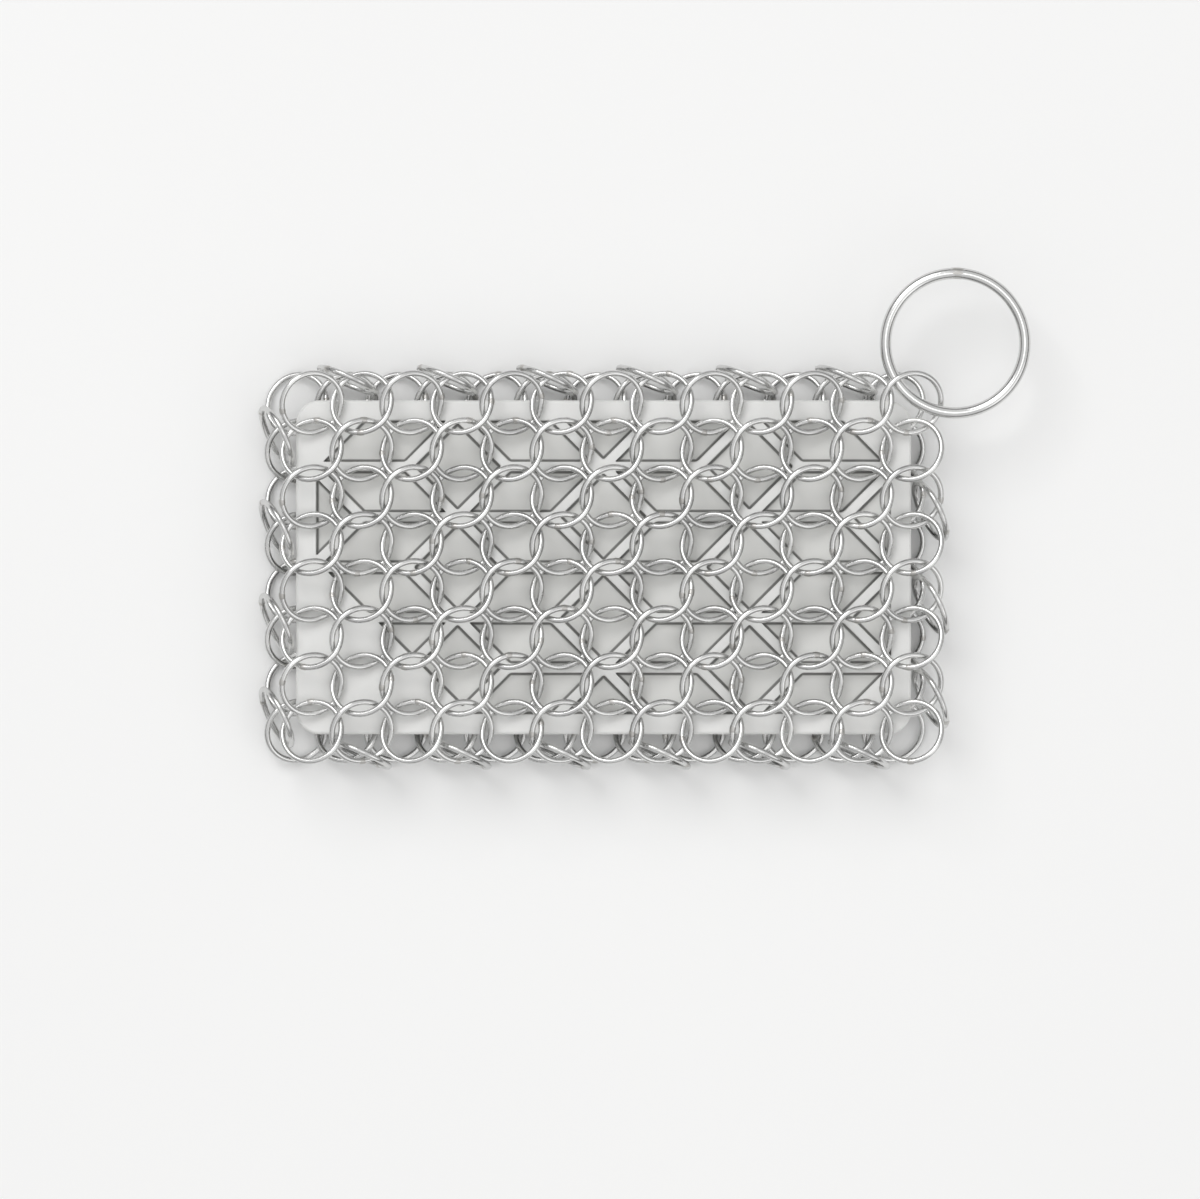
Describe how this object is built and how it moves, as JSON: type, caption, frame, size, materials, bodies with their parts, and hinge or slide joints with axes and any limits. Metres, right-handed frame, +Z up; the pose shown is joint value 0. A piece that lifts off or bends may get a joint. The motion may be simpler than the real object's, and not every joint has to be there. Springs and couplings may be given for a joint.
{
  "type": "chain mail pot scrubber",
  "caption": "Flat rectangular pot scrubber: welded steel rings linked as chain mail, wrapped round a ribbed silicone core, closed along the edges and hung by a plain ring at a corner.",
  "frame": {"origin": "below the middle of the core, on the plane that the lowest mail rings touch", "axes": "+X along the long side, +Y along the short side towards the hanging ring's edge, +Z up through the thickness, out of the front face"},
  "size_m": [0.1496, 0.0973, 0.0165],
  "materials": {
    "ring_steel": "bright tumbled stainless wire, welded shut",
    "hang_steel": "polished stainless wire, welded shut",
    "core_silicone": "matte moulded silicone"
  },
  "bodies": {
    "mail": {"front_row_1": "ring_steel", "front_row_2": "ring_steel", "front_row_3": "ring_steel", "front_row_4": "ring_steel", "front_row_5": "ring_steel", "front_row_6": "ring_steel", "front_row_7": "ring_steel", "front_row_8": "ring_steel", "corner_ring": "ring_steel", "back_row_1": "ring_steel", "back_row_2": "ring_steel", "back_row_3": "ring_steel", "back_row_4": "ring_steel", "back_row_5": "ring_steel", "back_row_6": "ring_steel", "back_row_7": "ring_steel", "back_row_8": "ring_steel", "left_closing_rings": "ring_steel", "right_closing_rings": "ring_steel", "top_closing_rings": "ring_steel", "bottom_closing_rings": "ring_steel"},
    "core": {"core_pad": "core_silicone"},
    "hanging_ring": {"hanging_ring": "hang_steel"}
  },
  "joints": [
    {"name": "hanging_ring_swing", "type": "hinge", "parent": "mail", "child": "hanging_ring", "pos_m": [0.06059, 0.03309, 0.01347], "axis": [0.7193, -0.6947, 0], "range_deg": [-15, 120]},
    {"name": "core_play", "type": "slide", "parent": "mail", "child": "core", "axis": [0, 1, 0], "range_m": [-0.0006, 0.0006]}
  ]
}
